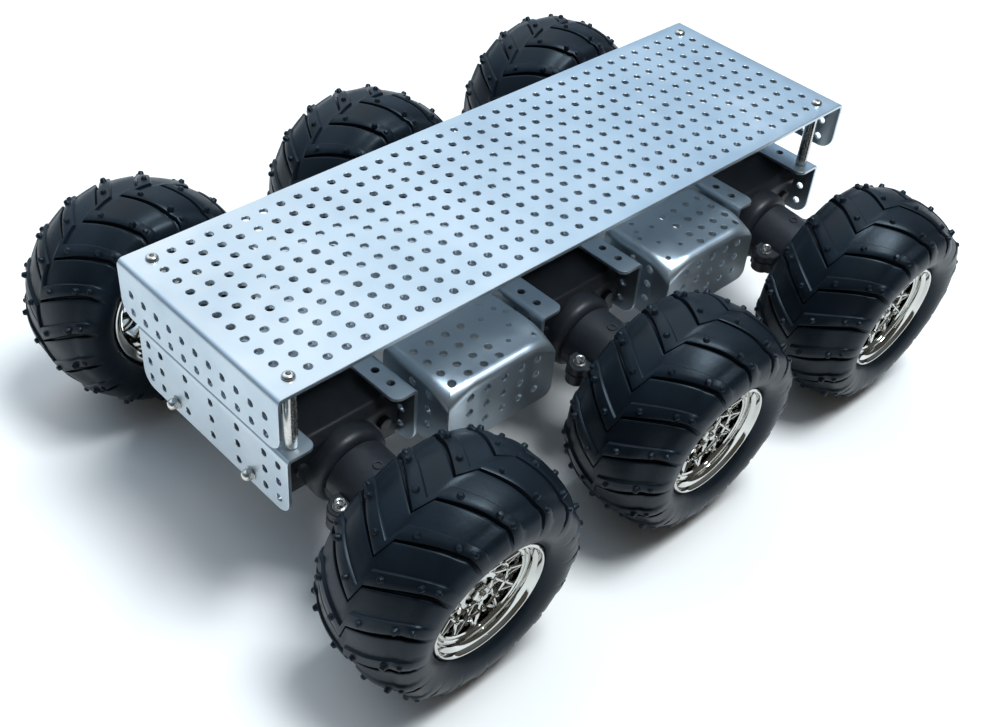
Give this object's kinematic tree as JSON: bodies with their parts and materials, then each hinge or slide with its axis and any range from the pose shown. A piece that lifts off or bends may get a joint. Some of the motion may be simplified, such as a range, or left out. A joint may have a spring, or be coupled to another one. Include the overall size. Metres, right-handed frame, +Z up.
{
  "type": "six-wheel robot chassis",
  "caption": "Perforated folded-aluminium robot chassis on rubber tyres, each wheel driven by its own gearmotor on a sprung swinging arm.",
  "frame": {"origin": "on the ground, under the centre of the wheels", "axes": "+Z up, +X along the chassis from the front end to the rear end, +Y to the left of someone looking along +X; right and left in the node names are that viewer's"},
  "size_m": [0.42, 0.3076, 0.1369],
  "materials": {
    "sheet_aluminium": "satin clear anodised sheet",
    "hardware_steel": "bright zinc plate",
    "spring_steel": "drawn spring wire",
    "arm_plastic": "moulded black, slightly glossy",
    "motor_can": "plated can",
    "rim_chrome": "mirror chrome plate",
    "tyre_rubber": "soft black rubber"
  },
  "bodies": {
    "chassis": {"top_plate": "sheet_aluminium", "deck_plate": "sheet_aluminium", "axle_bracket_front": "sheet_aluminium", "axle_bracket_mid": "sheet_aluminium", "axle_bracket_rear": "sheet_aluminium", "standoff_front_right": "hardware_steel", "standoff_front_left": "hardware_steel", "standoff_rear_right": "hardware_steel", "standoff_rear_left": "hardware_steel", "top_screw_front_right": "hardware_steel", "top_screw_front_left": "hardware_steel", "top_screw_rear_right": "hardware_steel", "top_screw_rear_left": "hardware_steel", "pivot_bolt_right": "hardware_steel", "pivot_bolt_left": "hardware_steel", "pivot_nut_right": "hardware_steel", "pivot_nut_left": "hardware_steel", "spring_front_right": "spring_steel", "spring_front_left": "spring_steel", "spring_mid_right": "spring_steel", "spring_mid_left": "spring_steel", "spring_rear_right": "spring_steel", "spring_rear_left": "spring_steel"},
    "suspension_front_right": {"arm_front_right": "arm_plastic", "motor_clamp_front_right": "arm_plastic", "gearmotor_front_right": "motor_can"},
    "suspension_front_left": {"arm_front_left": "arm_plastic", "motor_clamp_front_left": "arm_plastic", "gearmotor_front_left": "motor_can"},
    "suspension_mid_right": {"arm_mid_right": "arm_plastic", "motor_clamp_mid_right": "arm_plastic", "gearmotor_mid_right": "motor_can"},
    "suspension_mid_left": {"arm_mid_left": "arm_plastic", "motor_clamp_mid_left": "arm_plastic", "gearmotor_mid_left": "motor_can"},
    "suspension_rear_right": {"arm_rear_right": "arm_plastic", "motor_clamp_rear_right": "arm_plastic", "gearmotor_rear_right": "motor_can"},
    "suspension_rear_left": {"arm_rear_left": "arm_plastic", "motor_clamp_rear_left": "arm_plastic", "gearmotor_rear_left": "motor_can"},
    "wheel_front_right": {"axle_hub_front_right": "hardware_steel", "rim_front_right": "rim_chrome", "tyre_front_right": "tyre_rubber"},
    "wheel_front_left": {"axle_hub_front_left": "hardware_steel", "rim_front_left": "rim_chrome", "tyre_front_left": "tyre_rubber"},
    "wheel_mid_right": {"axle_hub_mid_right": "hardware_steel", "rim_mid_right": "rim_chrome", "tyre_mid_right": "tyre_rubber"},
    "wheel_mid_left": {"axle_hub_mid_left": "hardware_steel", "rim_mid_left": "rim_chrome", "tyre_mid_left": "tyre_rubber"},
    "wheel_rear_right": {"axle_hub_rear_right": "hardware_steel", "rim_rear_right": "rim_chrome", "tyre_rear_right": "tyre_rubber"},
    "wheel_rear_left": {"axle_hub_rear_left": "hardware_steel", "rim_rear_left": "rim_chrome", "tyre_rear_left": "tyre_rubber"}
  },
  "joints": [
    {"name": "arm_swing_front_right", "type": "hinge", "parent": "chassis", "child": "suspension_front_right", "pos_m": [-0.15, -0.0293, 0.06746], "axis": [-1, 0, 0], "range_deg": [-8, 12], "stiffness_Nm_per_rad": 3, "springref_deg": -4.87, "deforming": ["spring_front_right"]},
    {"name": "arm_swing_front_left", "type": "hinge", "parent": "chassis", "child": "suspension_front_left", "pos_m": [-0.15, 0.0293, 0.06746], "axis": [1, 0, 0], "range_deg": [-8, 12], "stiffness_Nm_per_rad": 3, "springref_deg": -4.87, "deforming": ["spring_front_left"]},
    {"name": "arm_swing_mid_right", "type": "hinge", "parent": "chassis", "child": "suspension_mid_right", "pos_m": [0, -0.0293, 0.06746], "axis": [-1, 0, 0], "range_deg": [-8, 12], "stiffness_Nm_per_rad": 3, "springref_deg": -4.87, "deforming": ["spring_mid_right"]},
    {"name": "arm_swing_mid_left", "type": "hinge", "parent": "chassis", "child": "suspension_mid_left", "pos_m": [0, 0.0293, 0.06746], "axis": [1, 0, 0], "range_deg": [-8, 12], "stiffness_Nm_per_rad": 3, "springref_deg": -4.87, "deforming": ["spring_mid_left"]},
    {"name": "arm_swing_rear_right", "type": "hinge", "parent": "chassis", "child": "suspension_rear_right", "pos_m": [0.15, -0.0293, 0.06746], "axis": [-1, 0, 0], "range_deg": [-8, 12], "stiffness_Nm_per_rad": 3, "springref_deg": -4.87, "deforming": ["spring_rear_right"]},
    {"name": "arm_swing_rear_left", "type": "hinge", "parent": "chassis", "child": "suspension_rear_left", "pos_m": [0.15, 0.0293, 0.06746], "axis": [1, 0, 0], "range_deg": [-8, 12], "stiffness_Nm_per_rad": 3, "springref_deg": -4.87, "deforming": ["spring_rear_left"]},
    {"name": "wheel_spin_front_right", "type": "hinge", "parent": "suspension_front_right", "child": "wheel_front_right", "pos_m": [-0.15, -0.11952, 0.06036], "axis": [0, 0.9969, 0.0785], "continuous": true},
    {"name": "wheel_spin_front_left", "type": "hinge", "parent": "suspension_front_left", "child": "wheel_front_left", "pos_m": [-0.15, 0.11952, 0.06036], "axis": [0, 0.9969, -0.0785], "continuous": true},
    {"name": "wheel_spin_mid_right", "type": "hinge", "parent": "suspension_mid_right", "child": "wheel_mid_right", "pos_m": [0, -0.11952, 0.06036], "axis": [0, 0.9969, 0.0785], "continuous": true},
    {"name": "wheel_spin_mid_left", "type": "hinge", "parent": "suspension_mid_left", "child": "wheel_mid_left", "pos_m": [0, 0.11952, 0.06036], "axis": [0, 0.9969, -0.0785], "continuous": true},
    {"name": "wheel_spin_rear_right", "type": "hinge", "parent": "suspension_rear_right", "child": "wheel_rear_right", "pos_m": [0.15, -0.11952, 0.06036], "axis": [0, 0.9969, 0.0785], "continuous": true},
    {"name": "wheel_spin_rear_left", "type": "hinge", "parent": "suspension_rear_left", "child": "wheel_rear_left", "pos_m": [0.15, 0.11952, 0.06036], "axis": [0, 0.9969, -0.0785], "continuous": true}
  ]
}
